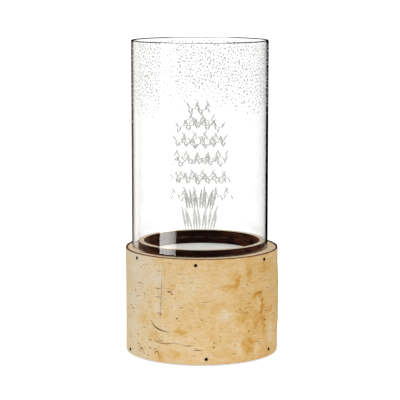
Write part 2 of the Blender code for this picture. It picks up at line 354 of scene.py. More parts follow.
def bark_look():
    """Outer skin of birch bark. The UV map is in metres round and up the drum. tint is painted on
    the mesh by the marks' own formulas, and so are the painted shade in the cracks and round the
    nail heads and the painted shade band along the top edge."""
    look = Look("birch_bark")
    clouds = look.noise(look.place("UV", (45, 34, 1)), 1.0, 4.0, 0.55, 0.4)
    grain = look.noise(look.place("UV", (230, 430, 1)), 1.0, 4.0, 0.65, 0.5)
    tint = look.maths("ADD", look.attribute("tint"), look.spread(clouds, 0.3, 0.7, -0.20, 0.20))
    tint = look.maths("ADD", tint, look.spread(grain, 0.3, 0.7, -0.26, 0.26))
    base = look.ramp(look.spread(tint, -1.0, 1.0), BARK_SHADES)
    fibres = look.noise(look.place("UV", (650, 1100, 1)), 1.0, 3.0, 0.7)
    base = look.mix(1.0, base, look.ramp(fibres, [(0.3, 0.84), (0.7, 1.0)]), 'MULTIPLY')
    dashes = look.noise(look.place("UV", (75, 1500, 1)), 1.0, 2.0, 0.45)
    gather = look.noise(look.place("UV", (36, 80, 1)), 1.0, 2.0)
    lines = look.maths("MULTIPLY", look.spread(dashes, 0.60, 0.70), look.spread(gather, 0.40, 0.6))
    base = look.mix(look.maths("MULTIPLY", lines, 0.50), base, (0.50, 0.27, 0.085))
    specks = look.cells(look.place("UV", (300, 380, 1)), 1.0)
    sparse = look.noise(look.place("UV", (70, 60, 1)), 1.0, 1.0)
    dots = look.maths("MULTIPLY", look.spread(specks, 0.10, 0.17, 1.0, 0.0),
                      look.spread(sparse, 0.46, 0.56, 0.0, 0.7))
    base = look.mix(dots, base, (0.26, 0.14, 0.05))
    # painted shade along the top edge of the skin, where the bark meets the deck
    base = look.mix(look.attribute("painted_rim_shade"), base, (0.090, 0.022, 0.004))
    painted_shade = look.attribute("painted_shade")
    # painted shade: dark brown in the cracks and a painted shadow round each nail head
    painted_shade_colour = look.ramp(painted_shade, [(0.35, (0.26, 0.13, 0.045)), (0.8, (0.045, 0.018, 0.007))])
    base = look.mix(painted_shade, base, painted_shade_colour)
    skin = look.bump(grain, 0.00008)
    ridges = look.bump(dashes, 0.00012, skin)
    look.set(base_color=base, specular_ior_level=0.12,
             roughness=look.spread(grain, 0.3, 0.7, 0.6, 0.8), normal=ridges)
    return look.owner


def bark_edge_look():
    """Cut edge and back of the bark: brown, in thin layers."""
    look = Look("bark_edge")
    layers = look.noise(look.place("UV", (40, 500, 1)), 1.0, 3.0)
    grain = look.noise(look.place(), 700.0, 3.0)
    base = look.ramp(layers, [(0.3, (0.050, 0.013, 0.003)), (0.7, (0.13, 0.042, 0.011))])
    base = look.mix(look.spread(grain, 0.45, 0.75, 0.0, 0.5), base, (0.05, 0.022, 0.009))
    look.set(base_color=base, roughness=0.8, normal=look.bump(grain, 0.00006))
    return look.owner


def lenticel_look():
    """Raised pores of the bark, from rusty brown to nearly black by their painted shade."""
    look = Look("lenticel")
    grain = look.noise(look.place(), 1500.0, 3.0)
    shade = look.maths("ADD", look.attribute("shade"), look.spread(grain, 0.3, 0.7, -0.15, 0.15))
    base = look.ramp(shade, [(0.0, (0.56, 0.31, 0.10)), (0.5, (0.24, 0.10, 0.026)),
                             (1.0, (0.030, 0.010, 0.003))])
    look.set(base_color=base, roughness=0.8, specular_ior_level=0.04,
             normal=look.bump(grain, 0.00004))
    return look.owner


def nail_look():
    look = Look("black_nail")
    grain = look.noise(look.place(), 1800.0, 3.0)
    base = look.ramp(grain, [(0.35, (0.0012, 0.0008, 0.0007)), (0.75, (0.008, 0.004, 0.003))])
    look.set(base_color=base, specular_ior_level=0.03,
             roughness=look.spread(grain, 0.3, 0.7, 0.45, 0.65))
    return look.owner


def zinc_look():
    look = Look("zinc_plate")
    grain = look.noise(look.place(), 1400.0, 4.0)
    base = look.ramp(grain, [(0.3, (0.44, 0.43, 0.38)), (0.7, (0.66, 0.65, 0.60))])
    look.set(base_color=base, metallic=1.0, roughness=look.spread(grain, 0.3, 0.7, 0.25, 0.45))
    return look.owner


def pine_look():
    """Planed pine: growth rings drawn out along the post."""
    look = Look("pine")
    rings = look.noise(look.place(scale=(1, 1, 0.05)), 420.0, 3.0, 0.5, 1.2)
    pores = look.noise(look.place(scale=(1, 1, 0.12)), 1500.0, 2.0)
    base = look.ramp(rings, [(0.35, (0.66, 0.46, 0.24)), (0.6, (0.50, 0.29, 0.12))])
    base = look.mix(look.spread(pores, 0.55, 0.8, 0.0, 0.3), base, (0.30, 0.17, 0.08))
    look.set(base_color=base, roughness=0.6, normal=look.bump(pores, 0.00005))
    return look.owner


def felt_look():
    look = Look("felt")
    fibres = look.noise(look.place(), 1300.0, 5.0, 0.75, 1.5)
    base = look.ramp(fibres, [(0.3, (0.010, 0.007, 0.005)), (0.7, (0.055, 0.038, 0.026))])
    look.set(base_color=base, roughness=0.95, sheen_weight=0.3,
             normal=look.bump(fibres, 0.0002))
    return look.owner


# ---- glass and its etching

def glass_surface(azimuth, height):
    return GLASS_RADIUS + 0 * azimuth


def build_glass(clear, rim_glass_painted_shade):
    """Open tube with ground and polished rims. A ring of points close to each rim keeps the
    walls' shading exact, so that they refract as a sheet and not as a lens."""
    rim, hold = 0.9 * MM, 0.25 * MM
    inner, outer = GLASS_RADIUS - GLASS_WALL, GLASS_RADIUS
    low, high = GLASS_LOW.z + rim, GLASS_HIGH.z - rim
    profile = arc((outer - rim, low), rim, -90, 0, 8, 0)
    profile += [(outer, low + hold, 0), (outer, high - hold, 0)]
    # the top rim takes the greyed glass: painted shade
    profile += arc((outer - rim, high), rim, 0, 90, 8, 1)
    profile += arc((inner + rim, high), rim, 90, 180, 8, 1)
    profile[-1] = (*profile[-1][:2], 0)
    profile += [(inner, high - hold, 0), (inner, low + hold, 0)]
    profile += arc((inner + rim, low), rim, 180, 270, 8, 0)
    glass = turned_piece("glass_tube", profile, 256, [clear, rim_glass_painted_shade], "glass",
                         centre_x=GLASS_CENTRE_X)
    glass.visible_shadow = False
    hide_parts("glass_cylinder")


def bent_blobs(name, blobs, surface, material, body, rings=5, spokes=10, centre_x=0.0):
    """Flattened ellipsoids that lie on a round surface. A blob is (azimuth, height, length,
    width, tilt in degrees, thickness, lift of its middle, shade)."""
    rng = np.random.default_rng(7)
    points, faces, shades = [], [], []
    polar = np.linspace(0, math.pi, rings + 1)[1:-1]
    around = np.arange(spokes) * math.tau / spokes
    for azimuth, height, length, width, tilt, thickness, lift, shade in blobs:
        ragged = 1 + 0.22 * rng.uniform(-1, 1, spokes)
        flat = np.sin(polar)[:, None] * ragged
        along = flat * np.cos(around) * length / 2
        aside = flat * np.sin(around) * width / 2
        rise = np.repeat(np.cos(polar)[:, None], spokes, 1) * thickness / 2
        along, aside, rise = (np.concatenate([[0], a.ravel(), [0]]) for a in (along, aside, rise))
        rise[0], rise[-1] = thickness / 2, -thickness / 2
        turn = math.radians(tilt)
        across = along * math.cos(turn) - aside * math.sin(turn)
        up = along * math.sin(turn) + aside * math.cos(turn)
        ground = surface(azimuth + 0 * across, height + up)
        places = azimuth + np.degrees(across / ground)
        ground = surface(places, height + up)
        first = len(points)
        points.extend(cylinder_points(places, ground + lift + rise, height + up, centre_x))
        last = first + 1 + len(polar) * spokes
        for s in range(spokes):
            t = (s + 1) % spokes
            faces.append((first, first + 1 + s, first + 1 + t))
            for r in range(len(polar) - 1):
                a = first + 1 + r * spokes
                faces.append((a + s, a + spokes + s, a + spokes + t, a + t))
            a = last - spokes
            faces.append((a + s, last, a + t))
        shades += [shade] * (last + 1 - first)
    piece = make_piece(name, points, faces, [material], body, shade=60)
    add_value(piece, "shade", shades)
    return piece


def fleck_density(azimuth, height):
    """How full the glass is of etched flecks: full at the top, thinning out downwards, and
    reaching lower at the sides of the ornament than above it."""
    above_ornament = np.exp(-((azimuth + 90) % 180 - 90) ** 2 / (2 * 24.0 ** 2))
    return smooth(0.208 + 0.022 * above_ornament, 0.256 + 0.003 * above_ornament, height) ** 1.8


def build_flecks(material):
    """Etched flecks like falling snow, scattered with a least distance between them."""
    rng = np.random.default_rng(11)
    top = GLASS_HIGH.z - 0.0035
    azimuths, heights = rng.uniform(-180, 180, 20000), rng.uniform(0.205, top, 20000)
    sizes = np.where(rng.random(20000) < 0.65, rng.uniform(1.05, 1.55, 20000),
                     rng.uniform(1.6, 2.2, 20000)) * MM
    chance = rng.random(20000)
    turns, slims = rng.uniform(0, 180, 20000), rng.uniform(0.75, 1.0, 20000)
    kept = []
    for i in np.flatnonzero(chance < fleck_density(azimuths, heights)):
        around = np.radians(apart(azimuths[kept], azimuths[i])) * GLASS_RADIUS
        far = np.hypot(around, heights[kept] - heights[i])
        if not kept or far.min() > 1.75 * MM + sizes[i] / 2:
            kept.append(i)
    flecks = [(azimuths[i], heights[i], sizes[i], sizes[i] * slims[i], turns[i], 0.04 * MM,
               0.035 * MM, 0.5) for i in kept]
    bent_blobs("etched_flecks", flecks, glass_surface, material, "glass",
               rings=4, spokes=8, centre_x=GLASS_CENTRE_X)


def ribbon(path, width):
    """Both sides of a stroke along a path of (across, up) that tapers to its ends."""
    left, right = [], []
    last = len(path) - 1
    for i, (x, y) in enumerate(path):
        ahead, behind = path[min(i + 1, last)], path[max(i - 1, 0)]
        heading = math.atan2(ahead[1] - behind[1], ahead[0] - behind[0])
        half = width / 2 * (0.4 + 0.6 * math.sin(math.pi * i / last))
        left.append((x - half * math.sin(heading), y + half * math.cos(heading)))
        right.append((x + half * math.sin(heading), y - half * math.cos(heading)))
    return left, right


def leaf(root, heading, length, width):
    """Both sides of a slender pointed leaf."""
    sides = []
    for side in (1, -1):
        path = []
        for i in range(11):
            t = i / 10
            along = t * length
            aside = side * (width / 2 * math.sin(math.pi * t ** 0.8) + 0.00012)
            path.append((root[0] + along * math.cos(heading) - aside * math.sin(heading),
                         root[1] + along * math.sin(heading) + aside * math.cos(heading)))
        sides.append(path)
    return tuple(sides)


def bent_strokes(name, strokes, centre_azimuth, material):
    """Thin plates on the glass from strokes of (across, up), around one azimuth."""
    points, faces = [], []
    for left, right in strokes:
        count = len(left)
        start = len(points)
        for side, rise in ((right, 0.015), (right, 0.055), (left, 0.055), (left, 0.015)):
            across, up = np.array(side).T
            azimuth = centre_azimuth + np.degrees(across / GLASS_RADIUS)
            radius = GLASS_RADIUS + rise * MM
            points.extend(cylinder_points(azimuth, radius, up, GLASS_CENTRE_X))
        for row in range(4):
            faces += strip(start + row * count, start + (row + 1) % 4 * count, count)
        corners = [start + row * count for row in range(4)]
        faces.append(tuple(corners))
        faces.append(tuple(c + count - 1 for c in corners[::-1]))
    return make_piece(name, points, faces, [material], "glass")


# Tiers of the etched ornament: height of the stem, half width, leaf length, stem's sag.
TIERS = ((0.2195, 0.0120, 0.0078, -0.0010), (0.2035, 0.0235, 0.0074, 0.0014),
         (0.1865, 0.0255, 0.0070, -0.0016), (0.1695, 0.0265, 0.0072, 0.0015),
         (0.1525, 0.0290, 0.0074, -0.0014))
LEAF_SPACING = 0.0047
BLADE_FOOT, BLADE_HEIGHT, BLADE_SPREAD, BLADES = 0.1230, 0.0215, 0.0150, 11


def ornament():
    """A plain tree of leafy garlands over a tuft of grass."""
    strokes = []
    for tier, (height, half, length, sag) in enumerate(TIERS):
        def stem(x):
            return height + sag * math.cos(math.pi * x / half) + 0.0009 * math.sin(x * 430 + tier)

        strokes.append(ribbon([(x, stem(x)) for x in np.linspace(-half, half, 37)], 0.9 * MM))
        count = round(2 * half / LEAF_SPACING)
        for i in range(count):
            x = -half + (i + 0.5) * 2 * half / count
            side = 1 if (i + tier) % 2 == 0 else -1
            for up, share, shift in ((1, 1.0, 0.0), (-1, 0.66, 0.0021)):
                root = (x + shift, stem(x + shift) + up * 0.0004)
                lean = math.radians(90 - side * up * 30 + 9 * math.sin(3.1 * i + tier))
                strokes.append(leaf(root, lean * up, share * length, 0.0014))
    for i in range(BLADES):
        place = 2 * i / (BLADES - 1) - 1
        tall = BLADE_HEIGHT * (1.0 - 0.22 * ((i * 2) % 3) / 2)
        bow = 0.0032 * math.sin(2.3 * i + 0.4)
        path = [(BLADE_SPREAD * place * (0.8 + 0.35 * t) + bow * t * t, BLADE_FOOT + tall * t)
                for t in np.linspace(0, 1, 15)]
        strokes.append(ribbon(path, 2.1 * MM))
    return strokes


def build_ornament(material):
    strokes = ornament()
    bent_strokes("etched_sprigs_front", strokes, 0.0, material)
    bent_strokes("etched_sprigs_back", strokes, 180.0, material)


# ---- fibreboard and plate

BURNT_MARGINS = (0.15 * MM, 0.15 * MM)
DECK_MARGINS = (1.0 * MM, 0.15 * MM)


def laser_ripple(azimuth, height):
    return 0.03 * MM * value_noise(azimuth * 1.1, height * 260, 21)


def build_boards(face, deck_face, edge, glue):
    ring = board_ring(WELL_RADIUS, RING_HIGH.x, RING_LOW.z, RING_HIGH.z, BURNT_MARGINS)
    piece = turned_piece("ring_board", ring, 384, [face, edge], "drum",
                         wobble=laser_ripple)
    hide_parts("locating_ring")
    deck = board_ring(WELL_RADIUS, DECK_HIGH.x, DECK_LOW.z, DECK_HIGH.z, DECK_MARGINS)
    piece = turned_piece("deck_board", deck, 384, [deck_face, edge], "drum",
                         wobble=laser_ripple)
    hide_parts("deck_disc")
    joint = (RING_LOW.z + DECK_HIGH.z) / 2
    rng = np.random.default_rng(5)
    beads = []
    for azimuth in np.sort(rng.uniform(-180, 180, 60)):
        beads.append((azimuth, joint + rng.normal(0, 0.25) * MM, rng.uniform(0.4, 1.8) * MM,
                      rng.uniform(0.25, 0.5) * MM, 0, 0.3 * MM, 0.0, 0.5))
    bent_blobs("glue_beads", beads, well_wall, glue, "drum", rings=4, spokes=8)


def well_wall(azimuth, height):
    return WELL_RADIUS + 0 * azimuth


def build_plate(material):
    """Thin round plate with softened edges, its middle closed by a fan of quads."""
    segments, corner = 192, 0.25 * MM
    radii = (0.0, 0.012, 0.026, 0.040, 0.050)
    outer = PLATE_HIGH.x
    low, high = PLATE_LOW.z, PLATE_HIGH.z
    outline = [(r, low) for r in radii[1:]]
    outline += [p[:2] for p in arc((outer - corner, low + corner), corner, -90, 0, 3, 0)]
    outline += [p[:2] for p in arc((outer - corner, high - corner), corner, 0, 90, 3, 0)]
    outline += [(r, high) for r in radii[:0:-1]]
    count = len(outline)
    azimuth = np.repeat(np.arange(segments) * 360.0 / segments, count)
    radius = np.tile([p[0] for p in outline], segments)
    height = np.tile([p[1] for p in outline], segments)
    points = list(cylinder_points(azimuth, radius, height)) + [(0, 0, low), (0, 0, high)]
    bottom, top = len(points) - 2, len(points) - 1
    faces = []
    for i in range(segments):
        here, there = i * count, (i + 1) % segments * count
        faces += strip(there, here, count)
        faces.append((bottom, there, here))
        faces.append((top, here + count - 1, there + count - 1))
    piece = make_piece("enamel_plate", points, faces, [material], "plate")
    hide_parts("candle_plate")


# ---- bark

NAIL_NAMES = sorted(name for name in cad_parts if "_nail_" in name)


def nail_place(name):
    """Azimuth and height of a nail, from its CAD box."""
    low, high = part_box(name)
    middle = (low + high) / 2
    return math.degrees(math.atan2(middle.x, -middle.y)), middle.z


NAIL_HEADS = [nail_place(name) for name in NAIL_NAMES]


CRACK_AZIMUTH = -31.0               # of the long upright crack, two thirds of the way up
CRACK_LEAN = 45.0                   # degrees of turn for each metre of rise


def crack_line(height):
    """Azimuth of the long upright crack at a height."""
    lean = CRACK_LEAN * (height - 2 / 3 * BARK_HIGH.z)
    return CRACK_AZIMUTH + lean + 0.25 * value_noise(height * 160, 0.5, 31)


def crack_strength(height):
    """A hairline from the top edge, open in the middle and dying out below."""
    hairline = 0.20 * smooth(0.036, 0.044, height)
    opened = smooth(0.041, 0.046, height) * (1 - smooth(0.066, 0.080, height))
    return hairline + opened * (0.25 + 0.45 * value_noise(height * 330, 0.5, 32))


def faint_cracks():
    """Hairlines on both sides of the long crack: azimuth, lower and upper end, and strength."""
    rng = np.random.default_rng(29)
    return [(CRACK_AZIMUTH + side * rng.uniform(2.0, 6.0), rng.uniform(0.050, 0.075),
             rng.uniform(0.090, 0.095), rng.uniform(0.14, 0.22)) for side in (-1, 1, -1, 1)]


FAINT_CRACKS = faint_cracks()


def cracks(azimuth, height):
    """0 to 1: how deep in a crack a point of the bark is."""
    arc_mm = np.radians(apart(azimuth, crack_line(height))) * BARK_RADIUS / MM
    depth = crack_strength(height) * np.exp(-(arc_mm / 0.45) ** 2)
    for place, low, high, strength in FAINT_CRACKS:
        line = place + 30 * (height - 0.075) + 0.3 * value_noise(height * 140, place, 33)
        arc_mm = np.radians(apart(azimuth, line)) * BARK_RADIUS / MM
        ends = smooth(low, low + 0.006, height) * (1 - smooth(high - 0.004, high, height))
        ends = ends * (0.75 + 0.5 * value_noise(height * 240, place, 34))
        depth = np.maximum(depth, strength * ends * np.exp(-(arc_mm / 0.5) ** 2))
    return depth


def bark_relief(azimuth, height):
    """Height of the bark's skin over a plain cylinder, in metres."""
    arc_m = np.radians(azimuth) * BARK_RADIUS
    skin = 0.14 * value_noise(arc_m / 0.031, height / 0.040, 41)
    skin = skin + 0.05 * value_noise(arc_m / 0.011, height / 0.0035, 42)
    skin = skin + 0.025 * value_noise(arc_m / 0.004, height / 0.0012, 43)
    skin = skin - 0.16 * cracks(azimuth, height)
    for place, level in NAIL_HEADS:
        far = (np.radians(apart(azimuth, place)) * BARK_RADIUS) ** 2 + (height - level) ** 2
        skin = skin + (0.26 - skin) * np.exp(-far / (1.5 * MM) ** 2)
    return skin * MM


def bark_sag(azimuth, height):
    """Between the two rows of nails the sheet pulls in a little, and swells at the right."""
    window = smooth(BASE_TOP, 0.034, height) * (1 - smooth(0.066, FLOOR_DISC_BOTTOM, height))
    swell = -0.14 + 1.0 * np.exp(-(apart(azimuth, 90) / 26) ** 2)
    return swell * MM * window


def seam_lift(turn):
    """How far the outer end of the sheet has risen over the inner end."""
    return SEAM_LIFT * smooth(*SEAM_RAMP, turn)


def outer_turn(azimuth):
    """Turn from the seam's middle at which the sheet is outermost at an azimuth."""
    turn = (azimuth - SEAM_AZIMUTH) % 360
    return np.where(turn <= SEAM_HALF, turn + 360, turn)


def bark_surface(azimuth, height):
    """Radius of the visible skin of the bark."""
    plain = BARK_RADIUS + seam_lift(outer_turn(azimuth))
    return plain + bark_sag(azimuth, height) + bark_relief(azimuth, height)


# Soft patches of colour: azimuth, height in mm, half sizes in degrees and mm, and tint, which
# is orange above 0 and pale below.
PATCHES = ((27, 75.5, 2.4, 6, 0.95), (18, 71.5, 7, 1.8, 0.50), (23, 70, 4, 3, 0.50),
           (37, 79.5, 2.0, 6, 0.60), (46, 61.8, 6, 2.4, 0.95), (51, 53, 1.8, 7, 0.65),
           (53, 32, 2.0, 9, 0.65), (38, 19.5, 6, 3, 0.65), (37, 13, 3, 4, 0.45),
           (16, 56, 3, 3, 0.40), (30, 40.5, 5, 4, 0.40), (52, 86.5, 3, 5, 0.50),
           (45, 45, 9, 14, 0.22),
           (63, 47, 3, 3, 0.65), (-22, 73, 2, 6, 0.50), (-16, 31, 3.5, 3, 0.75),
           (-49, 39, 7, 8, 0.50), (-40, 26, 5, 4, 0.50), (-18, 10.8, 4.5, 3, 0.75),
           (-31, 6.5, 4, 3, 0.60), (48.5, 51.5, 2.4, 6, -1.0), (17, 45.5, 4, 6, -0.65),
           (28, 15.5, 3.5, 6, -0.65), (45, 11.5, 2.5, 6, -0.55), (62, 26, 4, 9, -0.50),
           (-55, 78, 9, 18, -0.55), (-34, 79, 4, 10, -0.50), (-34, 52, 3.5, 5, -0.55),
           (-19, 52, 4.5, 5, -0.40), (-58, 20, 8, 10, -0.20))


def bark_tint(azimuth, height):
    """Tint of the skin: warmer round to the right of the front, paler to the left."""
    warm = np.exp(-(apart(azimuth, 48) / 46) ** 2)
    cool = np.exp(-(apart(azimuth, -75) / 36) ** 2)
    tint = 0.40 * warm - 0.34 * cool - 0.08
    around, up = np.radians(azimuth) * BARK_RADIUS / MM, height / MM
    tint = tint + 0.13 * value_noise(around / 8.0, up / 5.5, 51)
    tint = tint + 0.12 * value_noise(around / 3.4, up / 2.1, 52)
    azimuth = azimuth + 2.4 * value_noise(around / 4.2, up / 3.1, 53)
    up = up + 2.2 * value_noise(around / 3.6, up / 4.0, 54)
    for place, level, wide, tall, amount in PATCHES:
        tint = tint + amount * np.exp(-(apart(azimuth, place) / wide) ** 2
                                      - ((up - level) / tall) ** 2)
    return tint


def bark_painted_shade(azimuth, height):
    """How dark the painted shade on the skin is: in the cracks, and a painted shadow round each
    nail's head.
    """
    # painted shade in the cracks
    dark = np.clip(1.2 * cracks(azimuth, height), 0, 0.9)
    # painted shadow round each nail head
    for place, level in NAIL_HEADS:
        far = (np.radians(apart(azimuth, place)) * BARK_RADIUS) ** 2 + (height - level) ** 2
        dark = np.maximum(dark, 0.95 * np.exp(-(far / (1.5 * MM) ** 2) ** 2))
    return dark


def bark_painted_rim_shade(azimuth, height):
    """Painted shade: a dark red-brown band along the upper cut edge, where the bark meets the
    deck.
    """
    depth = (0.95 + 0.20 * value_noise(azimuth / 3.0, 0.5, 63)) * MM
    return 0.95 * smooth(BARK_HIGH.z - depth, BARK_HIGH.z - 0.5 * depth, height)


def bark_turns():
    """Turns of the sheet's columns, closer together where the cracks are."""
    fine = [(low - SEAM_AZIMUTH) % 360 for low in (-40.0, -20.0)]
    turn, turns = -SEAM_HALF, []
    while turn < 360 + SEAM_HALF:
        turns.append(turn)
        turn += 0.3 if fine[0] < turn < fine[1] else 0.8
    return np.array(turns + [360 + SEAM_HALF])


def build_bark(skin, edge):
    """The sheet: a fine grid outside, a coarser one inside and four cut edges."""
    turns = bark_turns()
    outer_rows = np.linspace(BARK_LOW.z, BARK_HIGH.z, 97)
    rim_rows = BARK_HIGH.z - np.array([0.75, 0.5, 0.25]) * MM
    outer_rows = np.sort(np.concatenate([outer_rows, rim_rows]))
    inner_rows = np.linspace(BARK_LOW.z, BARK_HIGH.z, 13)
    columns = len(turns)
    covered = smooth(-SEAM_HALF, SEAM_HALF + 6, turns)
    ragged_top = 0.10 * MM * value_noise(turns / 2.2, 0.5, 61)
    ragged_bottom = 0.10 * MM * value_noise(turns / 2.6, 0.5, 62)

    def sheet(rows, offset, with_relief):
        turn, height = np.meshgrid(turns, rows, indexing="ij")
        azimuth = SEAM_AZIMUTH + turn
        share = (height - BARK_LOW.z) / (BARK_HIGH.z - BARK_LOW.z)
        height = height + (ragged_bottom[:, None] * (1 - share) + ragged_top[:, None] * share)
        radius = BARK_RADIUS + offset + seam_lift(turn) + bark_sag(azimuth, height)
        if with_relief:
            relief = bark_relief(azimuth, height) * (0.15 + 0.85 * covered[:, None])
            radius = radius + relief - edge_rounding(share)
        points = cylinder_points(azimuth, radius, height)
        return points.reshape(-1, 3), azimuth.ravel(), height.ravel(), turn.ravel()

    outside, azimuth, height, turn = sheet(outer_rows, 0.0, True)
    inside, _, inner_height, inner_turn = sheet(inner_rows, -BARK_THICKNESS, False)
    points = np.concatenate([outside, inside])
    faces, slots = [], []

    def out(i, j):
        return i * len(outer_rows) + j

    def inn(i, j):
        return columns * len(outer_rows) + i * len(inner_rows) + j

    last_out, last_in = len(outer_rows) - 1, len(inner_rows) - 1
    for i in range(columns - 1):
        for j in range(last_out):
            faces.append((out(i, j), out(i + 1, j), out(i + 1, j + 1), out(i, j + 1)))
            slots.append(0)
        for j in range(last_in):
            faces.append((inn(i, j), inn(i, j + 1), inn(i + 1, j + 1), inn(i + 1, j)))
            slots.append(1)
        faces.append((out(i, last_out), out(i + 1, last_out),
                      inn(i + 1, last_in), inn(i, last_in)))
        faces.append((inn(i, 0), inn(i + 1, 0), out(i + 1, 0), out(i, 0)))
        slots += [1, 1]
    end = columns - 1
    faces.append(tuple([inn(0, j) for j in range(last_in + 1)][::-1]
                       + [out(0, j) for j in range(last_out + 1)]))
    faces.append(tuple([out(end, j) for j in range(last_out + 1)][::-1]
                       + [inn(end, j) for j in range(last_in + 1)]))
    slots += [1, 1]
    bark = make_piece("bark_sheet", points, faces, [skin, edge], "drum", shade=50)
    bark.data.polygons.foreach_set("material_index", slots)
    all_turns = np.concatenate([turn, inner_turn])
    all_heights = np.concatenate([height, inner_height])
    add_uv(bark, np.radians(all_turns) * BARK_RADIUS, all_heights)
    inner_zero = np.zeros(len(inside))
    add_value(bark, "tint", np.concatenate([bark_tint(azimuth, height), inner_zero]))
    add_value(bark, "painted_shade", np.concatenate([bark_painted_shade(azimuth, height), inner_zero]))
    add_value(bark, "painted_rim_shade", np.concatenate([bark_painted_rim_shade(azimuth, height), inner_zero]))
    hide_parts("bark_wrap")


def edge_rounding(share):
    """The knife-cut rims are slightly broken at the skin."""
    near = np.minimum(share, 1 - share)
    return 0.22 * MM * (1 - smooth(0.0, 0.014, near))


# Outline of a nail: distance along it from the top of its head, and radius.
NAIL_OUTLINE = ((0.0, 0.25), (0.04, 0.75), (0.14, 1.15), (0.30, 1.40), (0.48, 1.45), (0.60, 1.30),
                (0.66, 0.62), (1.0, 0.50), (10.4, 0.50), (11.4, 0.28), (12.2, 0.04))


def build_nails(material):
    """Twelve hammered pins with low domed heads, on the axes that their CAD nodes have."""
    sides, count = 20, len(NAIL_OUTLINE)
    points, faces = [], []
    for name in NAIL_NAMES:
        azimuth, height = nail_place(name)
        out = Vector((math.sin(math.radians(azimuth)), -math.cos(math.radians(azimuth)), 0))
        side = out.cross(Vector((0, 0, 1)))
        head = float(bark_surface(np.array(azimuth), np.array(height))) + 0.62 * MM
        start = len(points)
        for depth, radius in NAIL_OUTLINE:
            for i in range(sides):
                turn = math.tau * i / sides
                ring = side * math.cos(turn) + Vector((0, 0, math.sin(turn)))
                points.append(out * (head - depth * MM) + ring * radius * MM
                              + Vector((0, 0, height)))
        for row in range(count - 1):
            for i in range(sides):
                a, b = start + row * sides + i, start + row * sides + (i + 1) % sides
                faces.append((a, b, b + sides, a + sides))
        faces.append(tuple(range(start + sides - 1, start - 1, -1)))
        last = start + (count - 1) * sides
        faces.append(tuple(range(last, last + sides)))
    piece = make_piece("bark_nails", points, faces, [material], "drum", shade=50)
    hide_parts(*NAIL_NAMES)


# Torn lips, each along part of an ellipse: azimuth and height in mm of its centre, half its
# width in degrees, its rise in mm (below 0 where it hangs), how far it goes round in degrees,
# its greatest width in mm and its shade. The last two are small arched knots.
SCARS = ((-24, 39, 16, -9, 90, 1.15, 1.0), (-29, 23, 9, -4, 180, 0.7, 0.6),
         (-51, 7, 2, 4, 180, 1.1, 0.65), (-35, 7, 2, 4, 180, 0.9, 0.5))
BLOTS, DASHES, GRAINS = 120, 100, 420
NAIL_CLEARANCE = 3.5                # least distance in mm of a mark's middle from a nail


def clear_of_nails(azimuth, height):
    """Whether a mark here, with its height in mm, stays off the nails' heads."""
    return all(math.hypot(math.radians(apart(azimuth, place)) * BARK_RADIUS / MM,
                          height - level / MM) > NAIL_CLEARANCE for place, level in NAIL_HEADS)


def random_marks():
    """Lenticels: azimuth, height, length and width in mm, tilt, and shade, which is 0 for rusty
    and 1 for nearly black. Short dark blots crowd the right of the front, long thin dashes lie
    level all round, and a fine grain covers everything."""
    rng = np.random.default_rng(17)
    marks = []
    while len(marks) < BLOTS:
        azimuth, height, chance = rng.uniform(-180, 180), rng.uniform(4, 92), rng.uniform(0, 1)
        crowding = 0.35 + 0.65 * math.exp(-(apart(azimuth, 48) / 40) ** 2)
        if chance < crowding and clear_of_nails(azimuth, height):
            marks.append((azimuth, height, rng.uniform(1.4, 3.6), rng.uniform(0.6, 1.3),
                          rng.normal(0, 14), rng.uniform(0.3, 0.85)))
    while len(marks) < BLOTS + DASHES:
        azimuth, height = rng.uniform(-180, 180), rng.uniform(4, 92)
        if clear_of_nails(azimuth, height):
            marks.append((azimuth, height, rng.uniform(3.5, 11.0), rng.uniform(0.5, 0.85),
                          rng.normal(0, 4), rng.uniform(0.2, 0.6)))
    for _ in range(GRAINS):
        marks.append((rng.uniform(-180, 180), rng.uniform(3, 94), rng.uniform(0.8, 4.5),
                      rng.uniform(0.3, 0.55), rng.normal(0, 5), rng.uniform(0.0, 0.5)))
    return marks


def build_marks(material):
    blobs = [(azimuth, height * MM, length * MM, width * MM, tilt, 0.30 * MM, -0.07 * MM, shade)
             for azimuth, height, length, width, tilt, shade in random_marks()]
    bent_blobs("bark_lenticels", blobs, bark_surface, material, "drum", 6, 12)


def build_scars(material):
    """Torn lips: ridges with a triangular section along a smooth line on the bark."""
    count = 25
    points, faces, shades = [], [], []
    for place, level, half_turn, rise, sweep, width, shade in SCARS:
        share = np.linspace(0, 4, count)
        angle = np.radians(np.linspace(0, sweep, count))
        azimuth = place - half_turn * np.cos(angle)
        height = (level + rise * np.sin(angle)) * MM
        across = np.radians(azimuth) * BARK_RADIUS
        heading = np.arctan2(np.gradient(height), np.gradient(across))
        taper = np.sin(np.pi * np.linspace(0.04, 0.96, count)) ** 0.8
        half = width * MM / 2 * taper * (1 + 0.25 * value_noise(share * 1.7, 0.5, 71))
        start = len(points)
        for side, lift in ((1.0, -0.08), (0.2, 0.16), (-1.0, -0.08)):
            az = azimuth - np.degrees(side * half * np.sin(heading) / BARK_RADIUS)
            up = height + side * half * np.cos(heading)
            ground = bark_surface(az, up) + lift * MM * (taper if lift > 0 else 1)
            points.extend(cylinder_points(az, ground, up))
        for row, after in ((0, 1), (1, 2), (2, 0)):
            faces += strip(start + after * count, start + row * count, count)
        last = start + count - 1
        faces.append((start, start + 2 * count, start + count))
        faces.append((last, last + count, last + 2 * count))
        shades += list(np.tile(shade * (0.35 + 0.65 * taper ** 2), 3))
    piece = make_piece("bark_scars", points, faces, [material], "drum")
    add_value(piece, "shade", shades)


# ---- finishes of CAD nodes

def finish_nodes(looks):
    """Give every CAD node that still shows its own material."""
    for name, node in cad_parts.items():
        for part, material in looks.items():
            if part in name:
                node.data.materials.clear()
                node.data.materials.append(material)


# ---- studio

